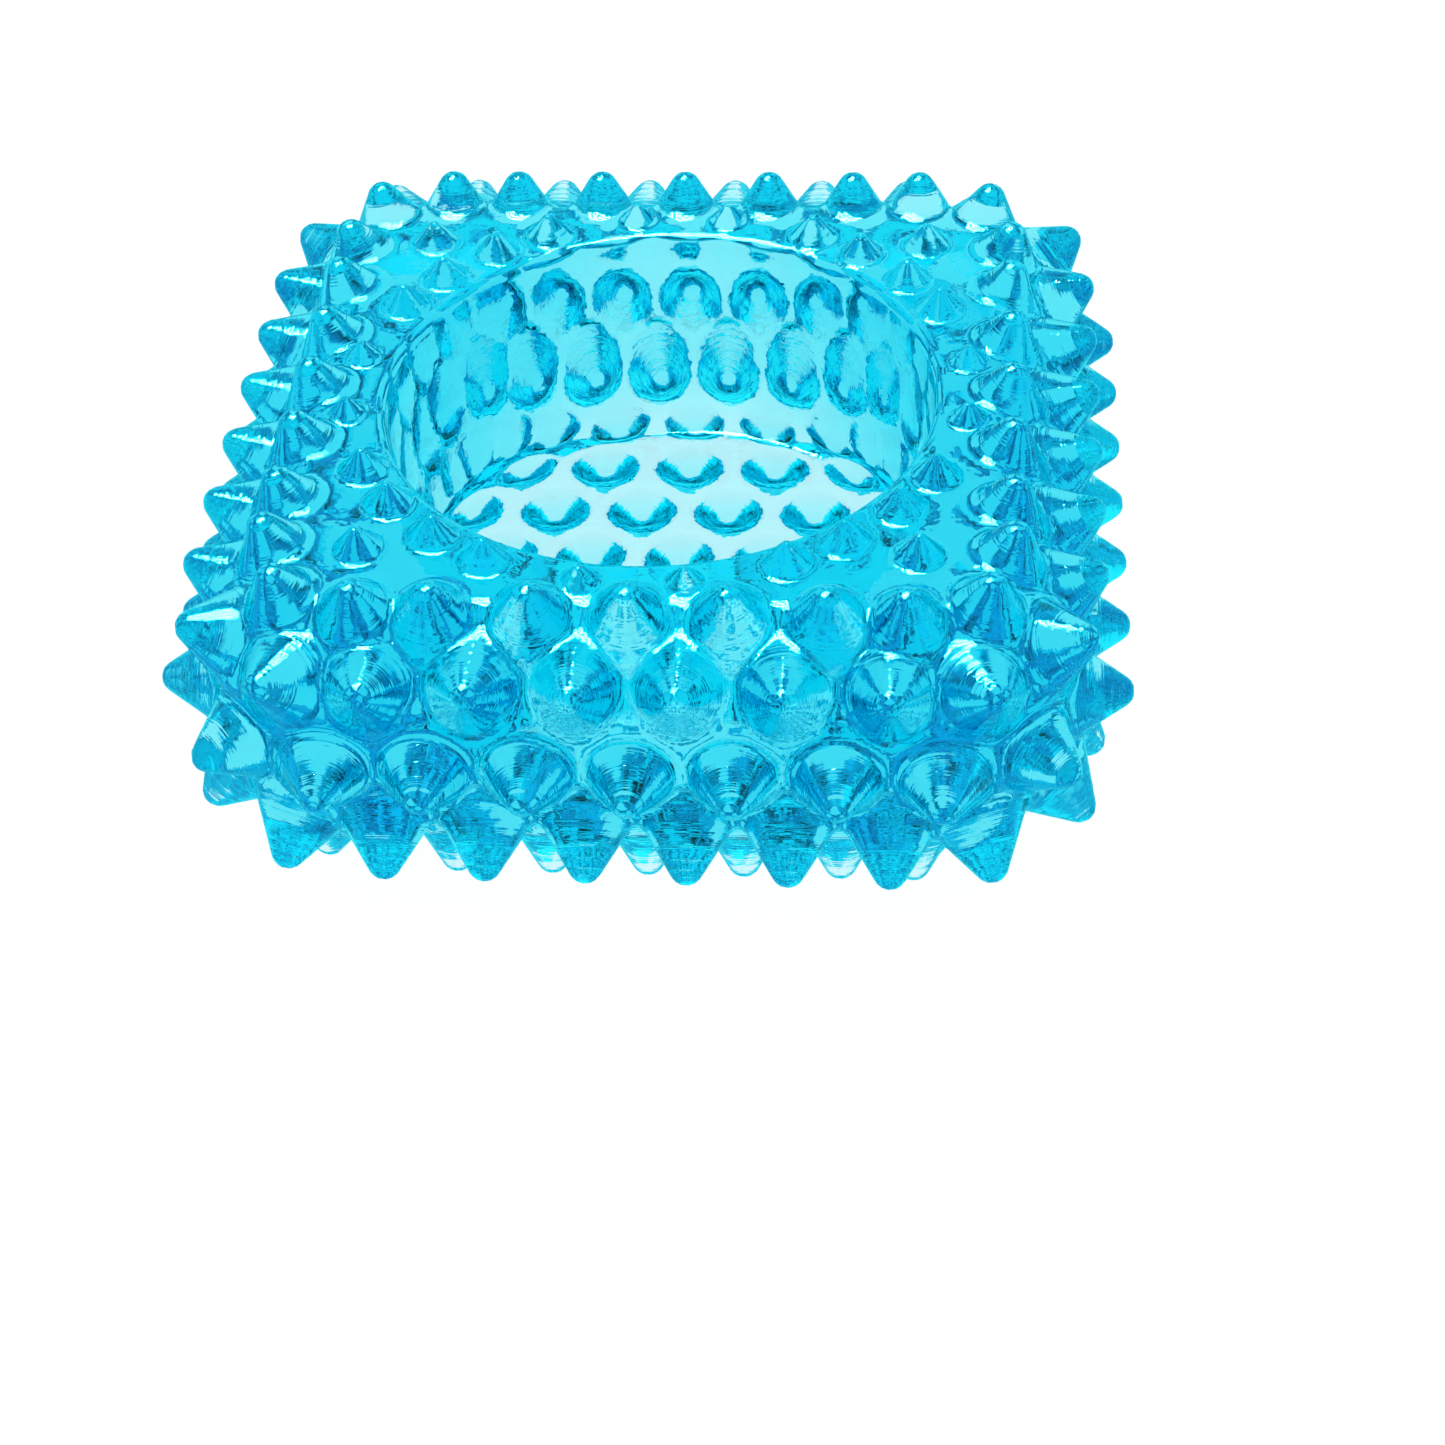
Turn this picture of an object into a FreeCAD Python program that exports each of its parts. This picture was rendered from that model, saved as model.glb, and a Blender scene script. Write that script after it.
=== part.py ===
import FreeCAD, Part
import math
import os
import Sketcher

# Square hobnail tealight holder, pressed in one piece of glass.
# Frame: millimetres, +Z up, origin on the resting plane under the centre of the round well.
#
# The body is a square block with bevelled edges and rounded corners. Five staggered rows of blunt
# spikes go round it: one along the top edge, three on the flanks and one under the bottom edge.
# Small cones ring the well on the flat top, and low cones cover the flat underside. The spikes
# under the bottom edge are the feet.

NODE = "glass_holder"

SIZES = {
    # block
    "body_width": 64.6,         # across the two flat sides, without the spikes
    "corner_round": 10.8,       # the four upright corners
    "top_bevel": 6.0,           # the even bevel round the top, measured in and down
    "base_bevel": 7.5,          # the even bevel round the underside
    "side_band": 10.15,         # upright band of the side between the two bevels
    "edge_soft": 2.0,           # rounding along both sides of each bevel
    # well for the candle cup
    "well_radius": 21.5,
    "floor_thickness": 4.1,     # glass under the well, down to the flat underside
    "well_floor_round": 2.0,    # hollow round between wall and floor
    "well_lip_round": 0.9,      # eased edge of the mouth
    # large spikes in the three side rows
    "spike_radius": 3.45,
    "spike_height": 4.2,        # middle row
    "upper_height": 4.0,        # upper row
    "lower_height": 4.4,        # lower row
    "tip_round": 1.3,
    "middle_level": 5.2,        # middle row, above the start of the upright band
    "row_overrun": 1.0,         # last spike of the middle row, beyond the straight of the side
    "upper_place": 2.2,         # upper row, in from the side along the top bevel
    "upper_tilt": 30.0,         # and its tilt, degrees above level
    "lower_place": 1.4,         # lower row, in from the side along the bottom bevel
    "lower_tilt": 42.0,         # and its tilt, degrees below level
    "corner_turn": 22.5,        # upper and lower rows: turn of the spikes beside each corner
    # spikes on the top edge
    "rim_spike_radius": 2.75,
    "rim_spike_height": 3.2,
    "rim_end_gap": 1.7,         # last one before the corner, back from the end of the straight
    "rim_closing": 5.6,         # from the last one to its neighbour, closer than the others
    "rim_place": 7.6,           # in from the side along the top bevel
    "rim_tilt": 75.0,
    # spikes under the bottom edge, which are the feet
    "foot_radius": 2.9,
    "foot_height": 4.0,
    "foot_end_gap": 1.1,
    "foot_closing": 5.6,
    "foot_place": 9.3,          # in from the side along the bottom bevel
    "foot_tilt": 72.0,
    # small upright cones on the flat top
    "land": 1.9,                # from the eased mouth of the well to their axes
    "small_stud_radius": 1.55,
    "small_stud_height": 1.7,
    "stud_radius": 1.95,
    "stud_height": 2.2,
    "stud_tip_round": 0.3,
    "small_stud_angle": 9.0,    # angles from the middle of a side, about the axis of the well
    "stud_angle": 27.0,
    "corner_stud_angle": 38.5,
    "outer_stud_gap": 4.7,      # from the ring of studs out to the stud in each corner
    # low cones under the floor
    "base_stud_radius": 2.9,
    "base_stud_height": 2.9,
    "base_side_margin": 6.05,   # from the outer ones to the edge of the flat underside, in X
    "base_end_margin": 6.2,     # and in Y
    # how far the cones reach into the block
    "spike_skirt": 1.2,
    "spike_root": 2.2,
    "stud_skirt": 0.1,
    "stud_root": 5.0,
    "base_stud_root": 1.0,
    # how far the cut for the well runs on above the top
    "cut_clearance": 5.0,
}

# Places worked out from the sizes, as expressions of the sheet.
BEVEL_TILT = 45
CORNER_REACH = "(Sizes.body_width / 2 - Sizes.corner_round)"
FLAT_BASE = "(Sizes.body_width / 2 - Sizes.base_bevel)"
FOOT_TIP = "(Sizes.foot_height - Sizes.tip_round) * sin(Sizes.foot_tilt) + Sizes.tip_round"
BAND_FOOT = f"(Sizes.foot_place * sin({BEVEL_TILT}) + {FOOT_TIP})"
BAND_HEAD = f"({BAND_FOOT} + Sizes.side_band)"
MIDDLE = f"({BAND_FOOT} + Sizes.middle_level)"
BOTTOM = f"({BAND_FOOT} - Sizes.base_bevel)"
TOP = f"({BAND_HEAD} + Sizes.top_bevel)"
WELL_FLOOR = f"({BOTTOM} + Sizes.floor_thickness)"
WELL_DEPTH = f"({TOP} - {WELL_FLOOR})"
STUD_RING = "(Sizes.well_radius + Sizes.well_lip_round + Sizes.land)"


# How many cones stand in each row. The rows spread over the side, so their pitch follows from it.
SIDES = 4
MIDDLE_ROW = 7
STAGGERED_ROW = 6
EDGE_ROW = 5
BASE_ODD_COLUMNS, BASE_ODD_ROWS = 5, 4
BASE_EVEN_COLUMNS, BASE_EVEN_ROWS = 6, 3
SPIKE_PITCH = f"(({CORNER_REACH} + Sizes.row_overrun) * 2 / {MIDDLE_ROW - 1})"
BASE_PITCH = f"(({FLAT_BASE} - Sizes.base_side_margin) * 2 / {BASE_EVEN_COLUMNS - 1})"
BASE_ROW_STEP = f"(({FLAT_BASE} - Sizes.base_end_margin) * 2 / {BASE_ODD_ROWS - 1})"

DIAGONAL = 45
LEVEL_SLACK = 0.01
UPRIGHT = "90"
DOWNWARD = "-90"

# Sketcher's own numbers for the origin, the two sketch axes and the points of an edge.
ORIGIN = (-1, 1)
H_AXIS, V_AXIS = -1, -2
START, END, CENTRE = 1, 2, 3

doc = FreeCAD.newDocument("TealightHolder")
sheet = doc.addObject("Spreadsheet::Sheet", "Sizes")
for row, (alias, value) in enumerate(SIZES.items(), start=1):
    sheet.set(f"A{row}", alias)
    sheet.set(f"B{row}", str(value))
    sheet.setAlias(f"B{row}", alias)

body = doc.addObject("PartDesign::Body", NODE)
body.Label = NODE
doc.recompute()


def origin_feature(role):
    """One of the body's own origin planes or axes."""
    return next(item for item in body.Origin.OriginFeatures if item.Role == role)


def new_sketch(name, plane, x="0", y="0", z="0", yaw="0", roll="0"):
    """A sketch on an origin plane, moved to x, y, z and turned by yaw and roll."""
    sketch = body.newObject("Sketcher::SketchObject", name)
    sketch.AttachmentSupport = [(origin_feature(plane), "")]
    sketch.MapMode = "FlatFace"
    place = f"placement(vector({x}; {y}; {z}); rotation({yaw}; 0; {roll}))"
    sketch.setExpression("AttachmentOffset", place)
    return sketch


def value_of(expression):
    """The present value of an expression of the sheet."""
    return float(sheet.evalExpression(expression))


def join(sketch, kind, *where):
    """Adds a constraint without a size."""
    sketch.addConstraint(Sketcher.Constraint(kind, *where))


def measure(sketch, kind, *where, size):
    """Adds a dimension and binds it to the sheet."""
    number = sketch.addConstraint(Sketcher.Constraint(kind, *where, value_of(size)))
    sketch.setExpression(f"Constraints[{number}]", size)


def outline(sketch, edges, smooth=(), backward=()):
    """A closed outline, edge after edge.

    The edges listed as smooth run on into the next one without a corner. The edges listed as
    backward are arcs that are drawn against the direction of the outline.
    """
    sketch.addGeometry(edges, False)
    for number in range(len(edges)):
        following = (number + 1) % len(edges)
        last = START if number in backward else END
        first = END if following in backward else START
        kind = "Tangent" if number in smooth else "Coincident"
        join(sketch, kind, number, last, following, first)


def straight(begin, finish):
    """A straight edge between two points of a sketch."""
    return Part.LineSegment(FreeCAD.Vector(*begin, 0), FreeCAD.Vector(*finish, 0))


def arc(centre, radius, begin, finish):
    """An arc about a centre between two angles in degrees, anticlockwise."""
    circle = Part.Circle(FreeCAD.Vector(*centre, 0), FreeCAD.Vector(0, 0, 1), radius)
    return Part.ArcOfCircle(circle, math.radians(begin), math.radians(finish))


def block():
    """The square block with rounded upright corners and softened bevels above and below."""
    half = value_of("Sizes.body_width / 2")
    corners = ((half, half), (-half, half), (-half, -half), (half, -half))
    sketch = new_sketch("BlockOutline", "XY_Plane", z=BOTTOM)
    outline(sketch, [straight(corners[side], corners[(side + 1) % SIDES]) for side in range(SIDES)])
    for side in range(SIDES):
        join(sketch, "Horizontal" if side % 2 == 0 else "Vertical", side)
    join(sketch, "Symmetric", 0, START, 2, START, *ORIGIN)
    measure(sketch, "DistanceX", 0, END, 0, START, size="Sizes.body_width")
    measure(sketch, "DistanceY", 1, END, 1, START, size="Sizes.body_width")

    pad = body.newObject("PartDesign::Pad", "Block")
    pad.Profile = sketch
    pad.setExpression("Length", f"{TOP} - {BOTTOM}")
    doc.recompute()

    upright = [name for name, edge in edges_of(pad) if edge.BoundBox.ZLength > LEVEL_SLACK]
    rounded = round_edges("Corners", pad, upright, "Sizes.corner_round")
    top_bevel = bevel("TopBevel", rounded, TOP, "Sizes.top_bevel")
    both_bevels = bevel("BaseBevel", top_bevel, BOTTOM, "Sizes.base_bevel")
    sides = [name for level in (BOTTOM, BAND_FOOT, BAND_HEAD, TOP) for name in ring(both_bevels, level)]
    round_edges("SoftEdges", both_bevels, sides, "Sizes.edge_soft")


def ring(feature, level):
    """The names of the edges that run round a feature at one level."""
    height = value_of(level)
    return [
        name for name, edge in edges_of(feature)
        if max(abs(edge.BoundBox.ZMin - height), abs(edge.BoundBox.ZMax - height)) < LEVEL_SLACK
    ]


def bevel(name, base, level, size):
    """An even bevel round a feature at one level."""
    cut = body.newObject("PartDesign::Chamfer", name)
    cut.Base = (base, ring(base, level))
    cut.setExpression("Size", size)
    doc.recompute()
    return cut


def edges_of(feature):
    """The name and the edge of every edge of a feature."""
    return [(f"Edge{number}", edge) for number, edge in enumerate(feature.Shape.Edges, start=1)]


def round_edges(name, base, edge_names, radius):
    """A fillet on the named edges of a feature."""
    fillet = body.newObject("PartDesign::Fillet", name)
    fillet.Base = (base, edge_names)
    fillet.setExpression("Radius", radius)
    doc.recompute()
    return fillet


def cone(name, radius, height, tip, skirt, root, **place):
    """One upright cone in a sketch: round tip, straight flank, and a root inside the block."""
    sketch = new_sketch(name + "Outline", "XY_Plane", **place)
    wide, tall, ball, flare, deep = (value_of(size) for size in (radius, height, tip, skirt, root))
    slope = math.degrees(math.atan2(wide, tall))
    touch = ball * math.cos(math.radians(slope)), tall - ball + ball * math.sin(math.radians(slope))
    foot = wide * (1 + flare / tall)
    axis, bottom, side, flank, cap = range(5)
    edges = [
        straight((0, tall), (0, -deep)),
        straight((0, -deep), (foot, -deep)),
        straight((foot, -deep), (foot, -flare)),
        straight((foot, -flare), touch),
        arc((0, tall - ball), ball, slope, 90),
    ]
    outline(sketch, edges, smooth=[flank])
    join(sketch, "PointOnObject", axis, START, V_AXIS)
    join(sketch, "Vertical", axis)
    join(sketch, "Horizontal", bottom)
    join(sketch, "Vertical", side)
    join(sketch, "PointOnObject", cap, CENTRE, V_AXIS)
    measure(sketch, "Radius", cap, size=tip)
    measure(sketch, "DistanceY", *ORIGIN, axis, START, size=height)
    measure(sketch, "DistanceY", axis, END, *ORIGIN, size=root)
    measure(sketch, "DistanceY", side, END, *ORIGIN, size=skirt)
    mark = sketch.addGeometry(Part.Point(FreeCAD.Vector(wide, 0, 0)), True)
    join(sketch, "PointOnObject", mark, START, H_AXIS)
    join(sketch, "PointOnObject", mark, START, flank)
    measure(sketch, "DistanceX", *ORIGIN, mark, START, size=radius)

    turned = body.newObject("PartDesign::Revolution", name)
    turned.Profile = sketch
    turned.ReferenceAxis = (sketch, ["V_Axis"])
    turned.Angle = 360
    turned.Refine = False
    return turned


def pattern(kind, name):
    """A pattern to be used as one step of a repeat."""
    return body.newObject("PartDesign::" + kind, name)


def along(name, axis, step, count):
    """Copies in a straight line."""
    line = pattern("LinearPattern", name)
    line.Direction = (origin_feature(axis), [""])
    line.Mode = "Spacing"
    line.setExpression("Offset", step)
    line.Occurrences = count
    return line


def mirrored(name):
    """The same again on the other half of the side."""
    mirror = pattern("Mirrored", name)
    mirror.MirrorPlane = (origin_feature("YZ_Plane"), [""])
    return mirror


def four_sides(name):
    """The same on all four sides."""
    turn = pattern("PolarPattern", name)
    turn.Axis = (origin_feature("Z_Axis"), [""])
    turn.Angle = 360
    turn.Occurrences = SIDES
    return turn


def repeat(seed, steps):
    """Repeats one cone through the given patterns."""
    doc.recompute()
    copies = body.newObject("PartDesign::MultiTransform", seed.Name + "Copies")
    copies.Originals = [seed]
    copies.Transformations = steps
    copies.Refine = False
    body.Tip = copies
    doc.recompute()


class SideCone:
    """One kind of spike on the side: its size, where on the section it stands, and its tilt."""

    def __init__(self, name, radius, height, level, inset, tilt):
        self.name = name
        self.shape = dict(
            radius=radius, height=height, tip="Sizes.tip_round",
            skirt="Sizes.spike_skirt", root="Sizes.spike_root",
        )
        self.level = level
        self.inset = inset
        self.tilt = tilt

    def row(self, count, pitch):
        """Equally spaced spikes, centred on each side."""
        seed = cone(
            self.name, **self.shape, x=f"-{pitch} * {(count - 1) / 2}",
            y=f"Sizes.body_width / 2 - {self.inset}", z=self.level, roll=self.tilt,
        )
        repeat(seed, [along(self.name + "Line", "X_Axis", pitch, count), four_sides(self.name + "Sides")])

    def pair(self, place):
        """One spike at each end of each side, at its own distance from the middle."""
        seed = cone(
            self.name + "End", **self.shape, x=place,
            y=f"Sizes.body_width / 2 - {self.inset}", z=self.level, roll=self.tilt,
        )
        repeat(seed, [mirrored(self.name + "EndMirror"), four_sides(self.name + "EndSides")])

    def turned(self, turn, both):
        """A spike round each corner, turned away from the square side."""
        name = self.name + "Corner"
        out = f"(Sizes.corner_round - {self.inset})"
        seed = cone(
            name, **self.shape, x=f"{CORNER_REACH} + {out} * sin({turn})",
            y=f"{CORNER_REACH} + {out} * cos({turn})", z=self.level, yaw=f"-{turn}", roll=self.tilt,
        )
        steps = [mirrored(name + "Mirror")] if both else []
        repeat(seed, steps + [four_sides(name + "Sides")])


def up_the_bevel(place):
    """The level of a place on the top bevel."""
    return f"({BAND_HEAD} + {place} * sin({BEVEL_TILT}))"


def down_the_bevel(place):
    """The level of a place on the bottom bevel."""
    return f"({BAND_FOOT} - {place} * sin({BEVEL_TILT}))"


def inset_by(place):
    """How far in from the flat side a place on a bevel lies."""
    return f"{place} * cos({BEVEL_TILT})"


def side_rows():
    """The three rows on the flanks: a middle row, and a staggered row above and below it."""
    middle = SideCone("Middle", "Sizes.spike_radius", "Sizes.spike_height", MIDDLE, "0", "0")
    middle.row(MIDDLE_ROW, SPIKE_PITCH)
    middle.turned(DIAGONAL, both=False)
    for name, kind, level, tilt in (
        ("Upper", "upper", up_the_bevel("Sizes.upper_place"), "Sizes.upper_tilt"),
        ("Lower", "lower", down_the_bevel("Sizes.lower_place"), "(-Sizes.lower_tilt)"),
    ):
        size = ("Sizes.spike_radius", f"Sizes.{kind}_height")
        staggered = SideCone(name, *size, level, inset_by(f"Sizes.{kind}_place"), tilt)
        staggered.row(STAGGERED_ROW, SPIKE_PITCH)
        staggered.turned("Sizes.corner_turn", both=True)


def edge_rows():
    """The rows on the top edge and under the bottom edge, closed up towards the corners."""
    for name, kind, size, level, tilt in (
        ("Rim", "rim", "Sizes.rim_spike", up_the_bevel("Sizes.rim_place"), "Sizes.rim_tilt"),
        ("Foot", "foot", "Sizes.foot", down_the_bevel("Sizes.foot_place"), "(-Sizes.foot_tilt)"),
    ):
        inset = inset_by(f"Sizes.{kind}_place")
        spike = SideCone(name, size + "_radius", size + "_height", level, inset, tilt)
        end_place = f"({CORNER_REACH} - Sizes.{kind}_end_gap)"
        spike.row(EDGE_ROW, f"(({end_place} - Sizes.{kind}_closing) * 2 / {EDGE_ROW - 1})")
        spike.pair(end_place)
        spike.turned(DIAGONAL, both=False)


def stud(name, size, ring, angle, steps):
    """A small upright cone on the flat top, and its copies."""
    seed = cone(
        name, radius=size + "_radius", height=size + "_height", tip="Sizes.stud_tip_round",
        skirt="Sizes.stud_skirt", root="Sizes.stud_root",
        x=f"{ring} * sin({angle})", y=f"{ring} * cos({angle})", z=TOP, roll=UPRIGHT,
    )
    repeat(seed, steps)


def top_studs():
    """The ring of small cones round the well, and one more out in each corner."""
    for name, size, angle in (
        ("StudMiddle", "Sizes.small_stud", "Sizes.small_stud_angle"),
        ("StudSide", "Sizes.stud", "Sizes.stud_angle"),
        ("StudCorner", "Sizes.stud", "Sizes.corner_stud_angle"),
    ):
        stud(name, size, STUD_RING, angle, [mirrored(name + "Mirror"), four_sides(name + "Sides")])
    outer_ring = f"({STUD_RING} + Sizes.outer_stud_gap)"
    stud("StudOuter", "Sizes.stud", outer_ring, DIAGONAL, [four_sides("StudOuterSides")])


def base_studs():
    """Staggered straight rows of low cones under the flat floor."""
    for name, columns, rows in (
        ("BaseOdd", BASE_ODD_COLUMNS, BASE_ODD_ROWS),
        ("BaseEven", BASE_EVEN_COLUMNS, BASE_EVEN_ROWS),
    ):
        seed = cone(
            name, radius="Sizes.base_stud_radius", height="Sizes.base_stud_height",
            tip="Sizes.tip_round", skirt="Sizes.stud_skirt", root="Sizes.base_stud_root",
            x=f"-{BASE_PITCH} * {(columns - 1) / 2}", y=f"-{BASE_ROW_STEP} * {(rows - 1) / 2}",
            z=BOTTOM, roll=DOWNWARD,
        )
        repeat(seed, [
            along(name + "Columns", "X_Axis", BASE_PITCH, columns),
            along(name + "Rows", "Y_Axis", BASE_ROW_STEP, rows),
        ])


def well():
    """The round well, cut last, so that nothing stands in it."""
    sketch = new_sketch("WellOutline", "XZ_Plane", y=WELL_FLOOR)
    radius, hollow, lip = (
        value_of("Sizes.well_" + size) for size in ("radius", "floor_round", "lip_round")
    )
    depth = value_of(WELL_DEPTH)
    above = depth + value_of("Sizes.cut_clearance")
    axis, floor, round_floor, wall, round_lip, rise, ceiling = range(7)
    edges = [
        straight((0, above), (0, 0)),
        straight((0, 0), (radius - hollow, 0)),
        arc((radius - hollow, hollow), hollow, -90, 0),
        straight((radius, hollow), (radius, depth - lip)),
        arc((radius + lip, depth - lip), lip, 90, 180),
        straight((radius + lip, depth), (radius + lip, above)),
        straight((radius + lip, above), (0, above)),
    ]
    outline(sketch, edges, smooth=[floor, round_floor, wall], backward=[round_lip])
    join(sketch, "Coincident", axis, END, *ORIGIN)
    for upright in (axis, wall, rise):
        join(sketch, "Vertical", upright)
    for level in (floor, ceiling):
        join(sketch, "Horizontal", level)
    join(sketch, "Vertical", round_lip, CENTRE, round_lip, START)
    measure(sketch, "Radius", round_floor, size="Sizes.well_floor_round")
    measure(sketch, "Radius", round_lip, size="Sizes.well_lip_round")
    measure(sketch, "DistanceX", *ORIGIN, wall, START, size="Sizes.well_radius")
    measure(sketch, "DistanceY", *ORIGIN, round_lip, START, size=WELL_DEPTH)
    measure(sketch, "DistanceY", rise, START, rise, END, size="Sizes.cut_clearance")

    cut = body.newObject("PartDesign::Groove", "Well")
    cut.Profile = sketch
    cut.ReferenceAxis = (sketch, ["V_Axis"])
    cut.Angle = 360
    body.Tip = cut
    doc.recompute()


def check_and_export():
    """Stops the build if anything has failed, and otherwise writes the part."""
    for feature in doc.Objects:
        if {"Invalid", "Error"} & set(feature.State):
            raise RuntimeError(f"{feature.Name} failed: {feature.getStatusString()}")
    shape = body.Shape
    if shape.isNull() or not shape.isValid() or len(shape.Solids) != 1:
        raise RuntimeError(f"{NODE} is not one sound solid")
    os.makedirs("parts", exist_ok=True)
    shape.exportStep(f"parts/{NODE}.step")


block()
side_rows()
edge_rows()
top_studs()
base_studs()
uncut_volume = body.Shape.Volume
well()
plain_well = value_of(f"pi * Sizes.well_radius ^ 2 * ({WELL_DEPTH} - Sizes.well_floor_round)")
if uncut_volume - body.Shape.Volume < plain_well:
    raise RuntimeError("the well was not cut")
check_and_export()
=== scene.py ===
import math

import bpy
import numpy as np
from mathutils import Matrix, Vector


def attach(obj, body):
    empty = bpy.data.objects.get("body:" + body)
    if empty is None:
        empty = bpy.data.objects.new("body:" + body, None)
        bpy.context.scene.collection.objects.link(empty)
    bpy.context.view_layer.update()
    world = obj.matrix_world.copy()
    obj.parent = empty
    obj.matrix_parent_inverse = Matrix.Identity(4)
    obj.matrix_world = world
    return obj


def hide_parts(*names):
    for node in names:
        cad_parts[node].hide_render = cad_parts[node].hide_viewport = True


# Square hobnail tealight holder in transparent aqua blue glass.
# One closed glass skin: a square block with bevelled edges, joined with every cone, minus the well.
# It is first put together from plain solids, then moved onto a surface with soft transitions.
# Metres, +Z up, in the frame of the CAD model.

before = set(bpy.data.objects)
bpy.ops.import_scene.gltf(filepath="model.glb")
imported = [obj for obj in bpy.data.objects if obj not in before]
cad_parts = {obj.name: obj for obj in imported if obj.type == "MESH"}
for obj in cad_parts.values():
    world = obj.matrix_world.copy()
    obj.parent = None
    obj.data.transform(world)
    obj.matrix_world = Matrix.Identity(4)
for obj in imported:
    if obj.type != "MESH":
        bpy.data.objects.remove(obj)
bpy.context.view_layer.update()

MM = 0.001

# block
BODY_WIDTH = 64.6 * MM
CORNER_ROUND = 10.8 * MM
TOP_BEVEL = 6.0 * MM
BASE_BEVEL = 7.5 * MM
SIDE_BAND = 10.15 * MM
EDGE_SOFT = 2.0 * MM
FLOOR_THICKNESS = 4.1 * MM
# well
WELL_RADIUS = 21.5 * MM
WELL_FLOOR_ROUND = 2.0 * MM
WELL_LIP_ROUND = 0.9 * MM
CUT_CLEARANCE = 5.0 * MM
# cones: radius on the surface, height, round tip, how far flank and root reach inside, and how
# softly they run into the block and into each other
BLUNT = dict(tip=1.3 * MM, skirt=1.2 * MM, root=2.2 * MM, blend=0.55 * MM)
POINTED = dict(tip=0.3 * MM, skirt=0.1 * MM, root=5.0 * MM, blend=0.2 * MM)
SPIKE = dict(radius=3.45 * MM, height=4.2 * MM, **BLUNT)
UPPER_SPIKE = dict(radius=3.45 * MM, height=4.0 * MM, **BLUNT)
LOWER_SPIKE = dict(radius=3.45 * MM, height=4.4 * MM, **BLUNT)
RIM_SPIKE = dict(radius=2.75 * MM, height=3.2 * MM, **BLUNT)
FOOT_SPIKE = dict(radius=2.9 * MM, height=4.0 * MM, **BLUNT)
SMALL_STUD = dict(radius=1.55 * MM, height=1.7 * MM, **POINTED)
STUD = dict(radius=1.95 * MM, height=2.2 * MM, **POINTED)
BASE_STUD = dict(
    radius=2.9 * MM, height=2.9 * MM, tip=1.3 * MM, skirt=0.1 * MM, root=1.0 * MM, blend=0.55 * MM,
)
# where the rows lie: how far in from the side along a bevel, their tilt, how far along the side
MIDDLE_LEVEL = 5.2 * MM
ROW_OVERRUN = 1.0 * MM
UPPER_PLACE = 2.2 * MM
UPPER_TILT = math.radians(30)
LOWER_PLACE = 1.4 * MM
LOWER_TILT = math.radians(-42)
CORNER_TURN = math.radians(22.5)
RIM_END_GAP = 1.7 * MM
RIM_CLOSING = 5.6 * MM
RIM_PLACE = 7.6 * MM
RIM_TILT = math.radians(75)
FOOT_END_GAP = 1.1 * MM
FOOT_CLOSING = 5.6 * MM
FOOT_PLACE = 9.3 * MM
FOOT_TILT = math.radians(-72)
LAND = 1.9 * MM
OUTER_STUD_GAP = 4.7 * MM
SMALL_STUD_ANGLE = math.radians(9)
STUD_ANGLE = math.radians(27)
CORNER_STUD_ANGLE = math.radians(38.5)
BASE_SIDE_MARGIN = 6.05 * MM
BASE_END_MARGIN = 6.2 * MM
# how many cones stand in each row
SIDES = 4
MIDDLE_ROW = 7
STAGGERED_ROW = 6
EDGE_ROW = 5
BASE_COLUMNS = 6
BASE_ROWS = 7

# places that follow from the sizes
DIAGONAL = math.radians(45)
QUARTER = math.radians(90)
CORNER_REACH = BODY_WIDTH / 2 - CORNER_ROUND
FLAT_BASE = BODY_WIDTH / 2 - BASE_BEVEL
FOOT_TIP = (FOOT_SPIKE["height"] - FOOT_SPIKE["tip"]) * math.sin(-FOOT_TILT) + FOOT_SPIKE["tip"]
BAND_FOOT = FOOT_PLACE * math.sin(DIAGONAL) + FOOT_TIP
BAND_HEAD = BAND_FOOT + SIDE_BAND
MIDDLE = BAND_FOOT + MIDDLE_LEVEL
BOTTOM = BAND_FOOT - BASE_BEVEL
TOP = BAND_HEAD + TOP_BEVEL
FLOOR = BOTTOM + FLOOR_THICKNESS
SPIKE_PITCH = (CORNER_REACH + ROW_OVERRUN) * 2 / (MIDDLE_ROW - 1)
BASE_PITCH = (FLAT_BASE - BASE_SIDE_MARGIN) * 2 / (BASE_COLUMNS - 1)
BASE_ROW_STEP = (FLAT_BASE - BASE_END_MARGIN) * 2 / (BASE_ROWS - 1)
STUD_RING = WELL_RADIUS + WELL_LIP_ROUND + LAND

# fineness of the mesh
SPIKE_SEGMENTS = 24
TIP_RINGS = 3
WELL_SEGMENTS = 120
ROUND_STEPS = 8
CORNER_STEPS = 12
STRAIGHT_STEPS = 8
VOXEL = 0.525 * MM

# how softly the edges of the bevels and of the mouth of the well are rounded
EDGE_BLEND = 4 * EDGE_SOFT * (1 - math.cos(DIAGONAL / 2))
LIP_BLEND = 1.05 * MM
REACH = 8 * MM                  # a cone shapes nothing farther away than this
SETTLE_STEPS = 4
LONGEST_STEP = 0.3 * MM
PROBE = 0.02 * MM
FLATTEST_SLOPE = 0.1

# glass
CLEAR = (1, 1, 1, 1)
GLASS_IOR = 1.51
GLASS_ROUGHNESS = 0.0
GLASS_COLOUR = (0.0, 0.885, 0.96, 1)
GLASS_DENSITY = 128
SHEEN_COLOUR = (0.08, 0.95, 1.0, 1)
# turning marks round the cones, and the unevenness of pressed glass
MARK_DEPTH = 0.05 * MM
MARK_PITCH = 0.45 * MM
DIMPLE_DEPTH = 0.07 * MM
DIMPLE_SIZE = 1.6 * MM

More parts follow.
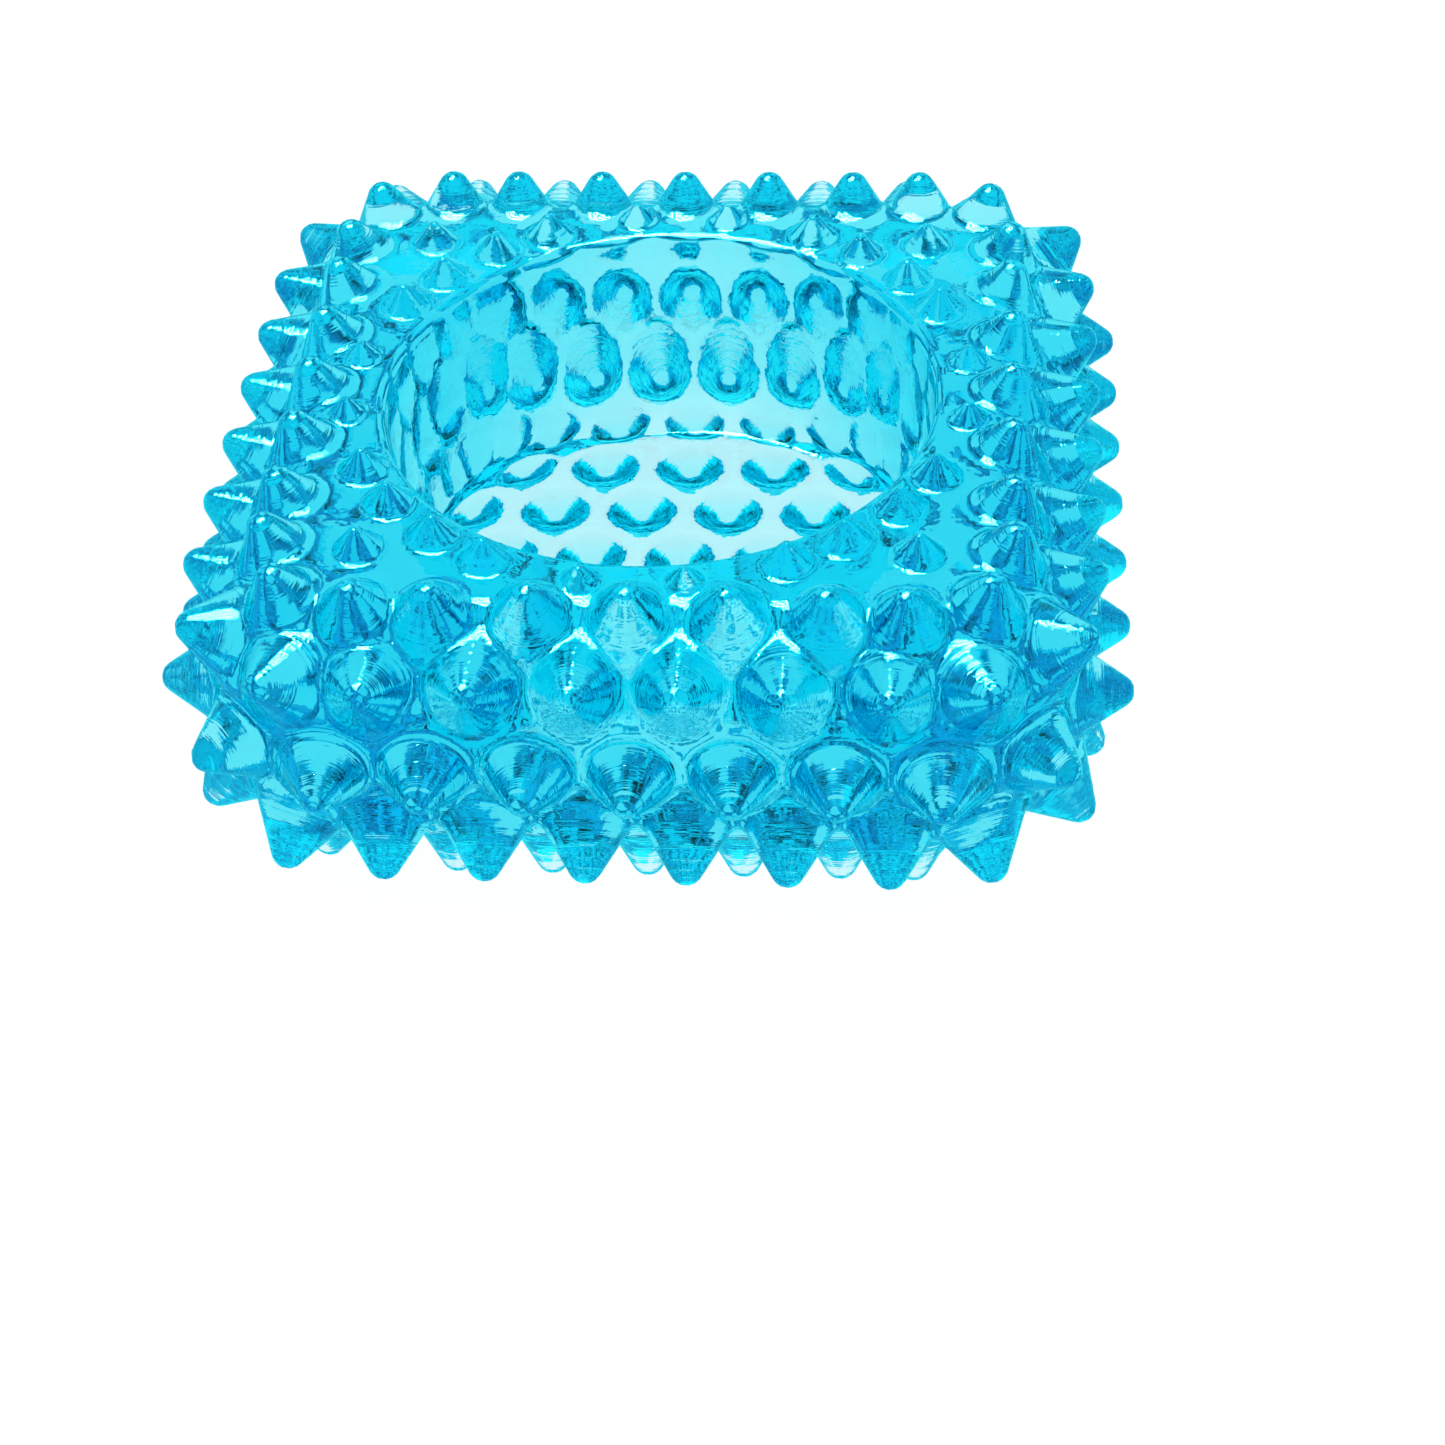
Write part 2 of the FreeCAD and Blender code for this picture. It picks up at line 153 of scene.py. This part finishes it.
# studio: the floor gives off its own pale light, and the window is level panes one above the other
LIGHT_BOUNCES = 24
BRIGHTEST_BOUNCE = 4
FLOOR_HALF = 6.0
FLOOR_ROUGHNESS = 0.9
FLOOR_SHINE = 0.0
FLOOR_GREY = 0.06
FLOOR_GLOW = 0.97
WINDOW_BARS = 3
WINDOW_TURN = math.radians(45)
WINDOW_RISE = math.radians(66)
WINDOW_STEP = math.radians(9)
WINDOW_AWAY = 0.9
WINDOW_WIDTH = 0.6
WINDOW_HEIGHT = 0.085
WINDOW_STRENGTH = 42.0
# brightness of the sky by height, from the horizon to straight above
SKY = ((0.0, 0.75), (0.12, 1.1), (0.7, 1.2))
CAMERA_TURN = math.radians(-5.76)
CAMERA_DROP = math.radians(42.09)
CAMERA_LEAN = math.radians(-2.91)
CAMERA_LENS = 71.0
CAMERA_SENSOR = 36.0
CAMERA_NEAREST = 0.001
CAMERA_PLACE = Vector((21.874, -181.298, 156.018)) * MM


# ---------------------------------------------------------------- where the cones stand

class Cone:
    """One cone: its shape, the point of the surface it stands on, and its direction."""

    def __init__(self, shape, base, axis):
        self.shape = shape
        self.base = Vector(base)
        self.axis = Vector(axis)
        self.tip_centre = shape["height"] - shape["tip"]
        to_tip = math.hypot(shape["radius"], self.tip_centre)
        open_angle = math.atan2(shape["radius"], self.tip_centre)
        self.slope = open_angle - math.asin(shape["tip"] / to_tip)

    def turned(self, angle):
        """The same cone after a turn about the axis of the well."""
        turn = Matrix.Rotation(angle, 3, "Z")
        return Cone(self.shape, turn @ self.base, turn @ self.axis)

    def mirrored(self):
        """The same cone on the other half of its side."""
        flip = Matrix.Diagonal((-1, 1, 1))
        return Cone(self.shape, flip @ self.base, flip @ self.axis)

    def profile(self):
        """Half of its outline as (distance from the axis, height), from the root to the point."""
        wide = self.shape["radius"] + self.shape["skirt"] * math.tan(self.slope)
        points = [(0, -self.shape["root"]), (wide, -self.shape["root"]), (wide, -self.shape["skirt"])]
        for step in range(TIP_RINGS + 1):
            angle = self.slope + (QUARTER - self.slope) * step / TIP_RINGS
            out = self.shape["tip"] * math.cos(angle)
            up = self.tip_centre + self.shape["tip"] * math.sin(angle)
            points.append((0 if step == TIP_RINGS else out, up))
        return points

    def distance(self, points):
        """How far points lie outside the cone; negative inside."""
        axis = np.array(self.axis)
        away = points - np.array(self.base)
        up = away @ axis
        out = np.linalg.norm(away - np.outer(up, axis), axis=1)
        flank_up = np.maximum(up, -self.shape["skirt"])
        flank = (out - self.shape["radius"]) * math.cos(self.slope) + flank_up * math.sin(self.slope)
        above = up - self.tip_centre
        ball = np.hypot(out, above) - self.shape["tip"]
        return np.where(above * math.cos(self.slope) > out * math.sin(self.slope), ball, flank)


def up_the_bevel(place):
    """The level of a place on the top bevel, and how far in from the side it lies."""
    return BAND_HEAD + place * math.sin(DIAGONAL), place * math.cos(DIAGONAL)


def down_the_bevel(place):
    """The level of a place on the bottom bevel, and how far in from the side it lies."""
    return BAND_FOOT - place * math.sin(DIAGONAL), place * math.cos(DIAGONAL)


def on_side(shape, place, spot, tilt):
    """A cone on the +Y side, at one spot of the section."""
    level, inset = spot
    return Cone(shape, (place, BODY_WIDTH / 2 - inset, level), (0, math.cos(tilt), math.sin(tilt)))


def on_corner(shape, turn, spot, tilt):
    """A cone on the rounded corner between the +Y and the +X side."""
    level, inset = spot
    away = Vector((math.sin(turn), math.cos(turn), 0))
    base = Vector((CORNER_REACH, CORNER_REACH, level)) + away * (CORNER_ROUND - inset)
    return Cone(shape, base, away * math.cos(tilt) + Vector((0, 0, math.sin(tilt))))


def row(shape, count, pitch, spot, tilt):
    """A row of equally spaced cones in the middle of the +Y side."""
    first = -pitch * (count - 1) / 2
    return [on_side(shape, first + pitch * number, spot, tilt) for number in range(count)]


def both_halves(cone):
    """A cone and its mirror image on the other half of the side."""
    return [cone, cone.mirrored()]


def on_ring(shape, radius, angle):
    """An upright cone on the flat top."""
    return Cone(shape, (radius * math.sin(angle), radius * math.cos(angle), TOP), (0, 0, 1))


def cones_of_one_side():
    """Every cone of the +Y side and of the corner to the right of it."""
    cones = row(SPIKE, MIDDLE_ROW, SPIKE_PITCH, (MIDDLE, 0), 0)
    cones.append(on_corner(SPIKE, DIAGONAL, (MIDDLE, 0), 0))
    for shape, spot, tilt in (
        (UPPER_SPIKE, up_the_bevel(UPPER_PLACE), UPPER_TILT),
        (LOWER_SPIKE, down_the_bevel(LOWER_PLACE), LOWER_TILT),
    ):
        cones += row(shape, STAGGERED_ROW, SPIKE_PITCH, spot, tilt)
        cones += both_halves(on_corner(shape, CORNER_TURN, spot, tilt))
    for shape, end_gap, closing, spot, tilt in (
        (RIM_SPIKE, RIM_END_GAP, RIM_CLOSING, up_the_bevel(RIM_PLACE), RIM_TILT),
        (FOOT_SPIKE, FOOT_END_GAP, FOOT_CLOSING, down_the_bevel(FOOT_PLACE), FOOT_TILT),
    ):
        end = CORNER_REACH - end_gap
        cones += row(shape, EDGE_ROW, (end - closing) * 2 / (EDGE_ROW - 1), spot, tilt)
        cones += both_halves(on_side(shape, end, spot, tilt))
        cones.append(on_corner(shape, DIAGONAL, spot, tilt))
    for shape, angle in ((SMALL_STUD, SMALL_STUD_ANGLE), (STUD, STUD_ANGLE), (STUD, CORNER_STUD_ANGLE)):
        cones += both_halves(on_ring(shape, STUD_RING, angle))
    cones.append(on_ring(STUD, STUD_RING + OUTER_STUD_GAP, DIAGONAL))
    return cones


def base_cones():
    """Staggered straight rows of low cones under the floor."""
    cones = []
    for number in range(BASE_ROWS):
        columns = BASE_COLUMNS - 1 if number % 2 == 0 else BASE_COLUMNS
        for column in range(columns):
            x = (column - (columns - 1) / 2) * BASE_PITCH
            y = (number - (BASE_ROWS - 1) / 2) * BASE_ROW_STEP
            cones.append(Cone(BASE_STUD, (x, y, BOTTOM), (0, 0, -1)))
    return cones


def all_cones():
    """Every cone of the holder: four equal sides, and the base."""
    side = cones_of_one_side()
    return [cone.turned(QUARTER * turn) for turn in range(SIDES) for cone in side] + base_cones()


# ---------------------------------------------------------------- solids

def mesh_object(name, points, faces):
    """A new object with a mesh of its own."""
    mesh = bpy.data.meshes.new(name)
    mesh.from_pydata(points, [], faces)
    mesh.validate()
    piece = bpy.data.objects.new(name, mesh)
    bpy.context.scene.collection.objects.link(piece)
    return piece


def revolved(profile, segments):
    """Points and faces of a closed solid of revolution about Z, from the bottom to the top."""
    rings = profile[1:-1]
    points = [(0, 0, profile[0][1])]
    for out, up in rings:
        for number in range(segments):
            angle = 2 * math.pi * number / segments
            points.append((out * math.cos(angle), out * math.sin(angle), up))
    points.append((0, 0, profile[-1][1]))
    top = len(points) - 1
    faces = []
    for number in range(segments):
        following = (number + 1) % segments
        faces.append((0, 1 + following, 1 + number))
        for ring in range(len(rings) - 1):
            low = 1 + ring * segments
            high = low + segments
            faces.append((low + number, low + following, high + following, high + number))
        last = 1 + (len(rings) - 1) * segments
        faces.append((last + number, last + following, top))
    return points, faces


def block():
    """The square block: its side section swept round a square with round corners."""
    section = ((BASE_BEVEL, BOTTOM), (0, BAND_FOOT), (0, BAND_HEAD), (TOP_BEVEL, TOP))
    path = []
    for side in range(SIDES):
        turn = Matrix.Rotation(-QUARTER * side, 3, "Z")
        for x in np.linspace(-CORNER_REACH, CORNER_REACH, STRAIGHT_STEPS, endpoint=False):
            path.append((turn @ Vector((x, CORNER_REACH, 0)), turn @ Vector((0, 1, 0))))
        for angle in np.linspace(0, QUARTER, CORNER_STEPS, endpoint=False):
            away = Vector((math.sin(angle), math.cos(angle), 0))
            path.append((turn @ Vector((CORNER_REACH, CORNER_REACH, 0)), turn @ away))
    points = []
    for start, away in path:
        for inset, level in section:
            points.append(start + away * (CORNER_ROUND - inset) + Vector((0, 0, level)))
    faces = []
    across = len(section)
    for number in range(len(path)):
        here = number * across
        there = (number + 1) % len(path) * across
        for step in range(across - 1):
            faces.append((here + step, here + step + 1, there + step + 1, there + step))
    faces.append([number * across for number in range(len(path))])
    faces.append([number * across + across - 1 for number in reversed(range(len(path)))])
    return mesh_object("glass_holder_skin", points, faces)


def well_cutter():
    """The space of the well, with the hollow round at its floor and the eased edge of its mouth."""
    profile = [(0, FLOOR)]
    for angle in np.linspace(-QUARTER, 0, ROUND_STEPS + 1):
        out = WELL_RADIUS - WELL_FLOOR_ROUND + WELL_FLOOR_ROUND * math.cos(angle)
        profile.append((out, FLOOR + WELL_FLOOR_ROUND + WELL_FLOOR_ROUND * math.sin(angle)))
    for angle in np.linspace(0, QUARTER, ROUND_STEPS + 1):
        out = WELL_RADIUS + WELL_LIP_ROUND - WELL_LIP_ROUND * math.cos(angle)
        profile.append((out, TOP - WELL_LIP_ROUND + WELL_LIP_ROUND * math.sin(angle)))
    ceiling = TOP + CUT_CLEARANCE
    profile += [(WELL_RADIUS + WELL_LIP_ROUND, ceiling), (0, ceiling)]
    return mesh_object("well_cutter", *revolved(profile, WELL_SEGMENTS))


def separate_sets(cones):
    """Sorts the cones into sets in which no two touch, so that a set is one clean solid."""
    sets = []
    for cone in cones:
        reach = cone.shape["radius"] + cone.shape["root"]
        for group in sets:
            if all((cone.base - other.base).length > reach + other_reach for other, other_reach in group):
                group.append((cone, reach))
                break
        else:
            sets.append([(cone, reach)])
    return sets


def set_object(group):
    """One mesh of the cones of a set."""
    points, faces = [], []
    for cone, _ in group:
        cone_points, cone_faces = revolved(cone.profile(), SPIKE_SEGMENTS)
        place = Matrix.Translation(cone.base) @ cone.axis.to_track_quat("Z", "Y").to_matrix().to_4x4()
        first = len(points)
        points += [place @ Vector(point) for point in cone_points]
        faces += [[first + index for index in face] for face in cone_faces]
    return mesh_object("cone_set", points, faces)


def with_modifier(piece, kind, **settings):
    """Applies one modifier to a mesh."""
    modifier = piece.modifiers.new(kind, kind)
    for name, value in settings.items():
        setattr(modifier, name, value)
    bpy.context.view_layer.update()
    result = bpy.data.meshes.new_from_object(piece.evaluated_get(bpy.context.evaluated_depsgraph_get()))
    piece.modifiers.clear()
    piece.data = result


def combine(piece, other, operation):
    """Joins or cuts with another solid, and throws that one away."""
    with_modifier(piece, "BOOLEAN", solver="MANIFOLD", operation=operation, object=other)
    bpy.data.objects.remove(other)


# ---------------------------------------------------------------- the soft skin

def softly_joined(first, second, blend):
    """The distance to two bodies that run into each other with a hollow round."""
    near = np.maximum(blend - np.abs(first - second), 0) / blend
    return np.minimum(first, second) - near * near * blend / 4


def rounded_corner(across, up, rounding):
    """The distance to a section whose corner is rounded."""
    inside = np.minimum(np.maximum(across + rounding, up + rounding), 0)
    outside = np.hypot(np.maximum(across + rounding, 0), np.maximum(up + rounding, 0))
    return inside + outside - rounding


def bevelled(across, up, bevel):
    """The distance to a section with an even bevel, softened along both its sides."""
    slant = (across + up + bevel) * math.sin(DIAGONAL)
    side = softly_joined(-across, -slant, EDGE_BLEND)
    return -softly_joined(side, -up, EDGE_BLEND)


def block_distance(points):
    """How far points lie outside the square block; negative inside."""
    beyond = np.abs(points[:, :2]) - CORNER_REACH
    across = np.linalg.norm(np.maximum(beyond, 0), axis=1) - CORNER_ROUND
    across += np.minimum(beyond.max(axis=1), 0)
    height = points[:, 2]
    upper = bevelled(across, height - TOP, TOP_BEVEL)
    lower = bevelled(across, BOTTOM - height, BASE_BEVEL)
    return np.where(height > MIDDLE, upper, lower)


def well_distance(points):
    """How far points lie outside the space of the well, which is open at the top."""
    across = np.linalg.norm(points[:, :2], axis=1) - WELL_RADIUS
    return rounded_corner(across, FLOOR - points[:, 2], WELL_FLOOR_ROUND)


class Skin:
    """The soft surface of the whole holder, as a distance."""

    def __init__(self, points):
        self.parts = []
        for cone in all_cones():
            near = np.linalg.norm(points - np.array(cone.base), axis=1) < REACH
            self.parts.append((cone, np.flatnonzero(near)))

    def distance(self, points):
        result = block_distance(points)
        for cone, near in self.parts:
            result[near] = softly_joined(result[near], cone.distance(points[near]), cone.shape["blend"])
        return -softly_joined(-result, well_distance(points), LIP_BLEND)

    def along(self, points):
        """How far out along the axis of its own cone every point lies, and nought off the cones."""
        nearest = np.minimum(np.abs(block_distance(points)), np.abs(well_distance(points)))
        result = np.zeros(len(points))
        for cone, near in self.parts:
            distance = np.abs(cone.distance(points[near]))
            closer = distance < nearest[near]
            own = near[closer]
            nearest[own] = distance[closer]
            result[own] = (points[own] - np.array(cone.base)) @ np.array(cone.axis)
        return result

    def slope(self, points):
        """The direction in which the distance grows."""
        slope = np.zeros_like(points)
        for axis in range(3):
            step = np.zeros(3)
            step[axis] = PROBE
            slope[:, axis] = self.distance(points + step) - self.distance(points - step)
        return slope / (2 * PROBE)


def settle(mesh):
    """Moves every point onto the soft surface, and gives it the exact direction of that surface."""
    points = np.zeros(len(mesh.vertices) * 3)
    mesh.vertices.foreach_get("co", points)
    points = points.reshape(-1, 3)
    skin = Skin(points)
    for _ in range(SETTLE_STEPS):
        slope = skin.slope(points)
        step = skin.distance(points) / np.maximum((slope ** 2).sum(axis=1), FLATTEST_SLOPE)
        points -= slope * np.clip(step, -LONGEST_STEP, LONGEST_STEP)[:, None]
    mesh.vertices.foreach_set("co", points.ravel())
    mesh.update()
    mesh.shade_smooth()
    slope = skin.slope(points)
    slope /= np.linalg.norm(slope, axis=1)[:, None]
    mesh.normals_split_custom_set_from_vertices(slope.tolist())
    mesh.attributes.new("along", "FLOAT", "POINT").data.foreach_set("value", skin.along(points))


def glass_skin():
    """The whole holder as one closed mesh."""
    piece = block()
    for group in separate_sets(all_cones()):
        combine(piece, set_object(group), "UNION")
    combine(piece, well_cutter(), "DIFFERENCE")
    with_modifier(piece, "REMESH", mode="VOXEL", voxel_size=VOXEL, adaptivity=0)
    settle(piece.data)
    return piece


# ---------------------------------------------------------------- material

def surface_marks(nodes, links):
    """Fine turning marks round every cone, and the slight unevenness of pressed glass."""
    along = nodes.new("ShaderNodeAttribute")
    along.attribute_name = "along"
    marks = nodes.new("ShaderNodeTexNoise")
    marks.noise_dimensions = "1D"
    marks.inputs["Scale"].default_value = 1 / MARK_PITCH
    links.new(along.outputs["Fac"], marks.inputs["W"])
    place = nodes.new("ShaderNodeTexCoord")
    dimples = nodes.new("ShaderNodeTexNoise")
    dimples.inputs["Scale"].default_value = 1 / DIMPLE_SIZE
    links.new(place.outputs["Object"], dimples.inputs["Vector"])
    normal = None
    for texture, depth in ((marks, MARK_DEPTH), (dimples, DIMPLE_DEPTH)):
        bump = nodes.new("ShaderNodeBump")
        bump.inputs["Strength"].default_value = 1.0
        bump.inputs["Distance"].default_value = depth
        links.new(texture.outputs["Fac"], bump.inputs["Height"])
        if normal:
            links.new(normal, bump.inputs["Normal"])
        normal = bump.outputs["Normal"]
    return normal


def aqua_glass():
    """Clear glossy glass, coloured all through."""
    material = bpy.data.materials.new("aqua_glass")
    material.use_nodes = True
    nodes = material.node_tree.nodes
    links = material.node_tree.links
    nodes.clear()
    normal = surface_marks(nodes, links)
    through = nodes.new("ShaderNodeBsdfRefraction")
    through.inputs["Color"].default_value = CLEAR
    through.inputs["Roughness"].default_value = GLASS_ROUGHNESS
    through.inputs["IOR"].default_value = GLASS_IOR
    sheen = nodes.new("ShaderNodeBsdfGlossy")
    sheen.inputs["Color"].default_value = SHEEN_COLOUR
    sheen.inputs["Roughness"].default_value = GLASS_ROUGHNESS
    share = nodes.new("ShaderNodeFresnel")
    share.inputs["IOR"].default_value = GLASS_IOR
    for node in (through, sheen, share):
        links.new(normal, node.inputs["Normal"])
    surface = nodes.new("ShaderNodeMixShader")
    links.new(share.outputs["Fac"], surface.inputs["Fac"])
    links.new(through.outputs["BSDF"], surface.inputs[1])
    links.new(sheen.outputs["BSDF"], surface.inputs[2])
    colour = nodes.new("ShaderNodeVolumeAbsorption")
    colour.inputs["Color"].default_value = GLASS_COLOUR
    colour.inputs["Density"].default_value = GLASS_DENSITY
    output = nodes.new("ShaderNodeOutputMaterial")
    links.new(surface.outputs["Shader"], output.inputs["Surface"])
    links.new(colour.outputs["Volume"], output.inputs["Volume"])
    return material


skin = glass_skin()
skin.data.materials.clear()
skin.data.materials.append(aqua_glass())
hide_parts("glass_holder")
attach(skin, "root")


# ---------------------------------------------------------------- studio

def floor():
    """A plain pale floor, far larger than the view."""
    half = FLOOR_HALF
    points = [(-half, -half, 0), (half, -half, 0), (half, half, 0), (-half, half, 0)]
    plane = mesh_object("floor", points, [(0, 1, 2, 3)])
    material = bpy.data.materials.new("pale_floor")
    material.use_nodes = True
    shader = material.node_tree.nodes["Principled BSDF"]
    shader.inputs["Base Color"].default_value = (FLOOR_GREY, FLOOR_GREY, FLOOR_GREY, 1)
    shader.inputs["Emission Color"].default_value = CLEAR
    shader.inputs["Emission Strength"].default_value = FLOOR_GLOW
    shader.inputs["Roughness"].default_value = FLOOR_ROUGHNESS
    shader.inputs["Specular IOR Level"].default_value = FLOOR_SHINE
    plane.data.materials.append(material)


def softbox(name, place, width, height, strength):
    """A soft rectangular light that faces the holder, seen only as a highlight on the glass."""
    lamp = bpy.data.lights.new(name, "AREA")
    lamp.shape = "RECTANGLE"
    lamp.size = width
    lamp.size_y = height
    lamp.energy = strength
    light = bpy.data.objects.new(name, lamp)
    light.location = place
    light.rotation_euler = (-Vector(place)).to_track_quat("-Z", "Y").to_euler()
    light.visible_transmission = False
    light.visible_diffuse = False
    bpy.context.scene.collection.objects.link(light)


def window():
    """A window of a few level panes, high up behind the holder and to the left."""
    for number in range(WINDOW_BARS):
        rise = WINDOW_RISE + WINDOW_STEP * number
        level = Vector((-math.sin(WINDOW_TURN), math.cos(WINDOW_TURN), 0))
        place = (level * math.cos(rise) + Vector((0, 0, math.sin(rise)))) * WINDOW_AWAY
        softbox(f"window_pane_{number}", place, WINDOW_WIDTH, WINDOW_HEIGHT, WINDOW_STRENGTH)


def surroundings():
    """A sky that is bright above and darker towards the horizon."""
    world = bpy.data.worlds.new("studio")
    bpy.context.scene.world = world
    world.use_nodes = True
    nodes = world.node_tree.nodes
    links = world.node_tree.links
    background = nodes["Background"]
    place = nodes.new("ShaderNodeTexCoord")
    split = nodes.new("ShaderNodeSeparateXYZ")
    ramp = nodes.new("ShaderNodeValToRGB")
    stops = ramp.color_ramp.elements
    while len(stops) < len(SKY):
        stops.new(1)
    for stop, (height, brightness) in zip(stops, SKY):
        stop.position = height
        stop.color = (brightness, brightness, brightness, 1)
    links.new(place.outputs["Generated"], split.inputs["Vector"])
    links.new(split.outputs["Z"], ramp.inputs["Fac"])
    links.new(ramp.outputs["Color"], background.inputs["Color"])


def camera():
    """The view of the photograph: from the front, high up, turned a little."""
    ahead = Vector((
        math.sin(CAMERA_TURN) * math.cos(CAMERA_DROP),
        math.cos(CAMERA_TURN) * math.cos(CAMERA_DROP),
        -math.sin(CAMERA_DROP),
    ))
    right = Vector((math.cos(CAMERA_TURN), -math.sin(CAMERA_TURN), 0))
    up = right.cross(ahead)
    leaned_right = right * math.cos(CAMERA_LEAN) + up * math.sin(CAMERA_LEAN)
    leaned_up = up * math.cos(CAMERA_LEAN) - right * math.sin(CAMERA_LEAN)
    lens = bpy.data.cameras.new("camera")
    lens.lens = CAMERA_LENS
    lens.sensor_width = CAMERA_SENSOR
    lens.clip_start = CAMERA_NEAREST
    eye = bpy.data.objects.new("camera", lens)
    turn = Matrix((leaned_right, leaned_up, -ahead)).transposed()
    eye.matrix_world = Matrix.Translation(CAMERA_PLACE) @ turn.to_4x4()
    bpy.context.scene.collection.objects.link(eye)
    bpy.context.scene.camera = eye


floor()
surroundings()
window()
camera()

bpy.context.scene.view_settings.view_transform = "Standard"
bpy.context.scene.cycles.max_bounces = LIGHT_BOUNCES
bpy.context.scene.cycles.transmission_bounces = LIGHT_BOUNCES
bpy.context.scene.cycles.sample_clamp_indirect = BRIGHTEST_BOUNCE
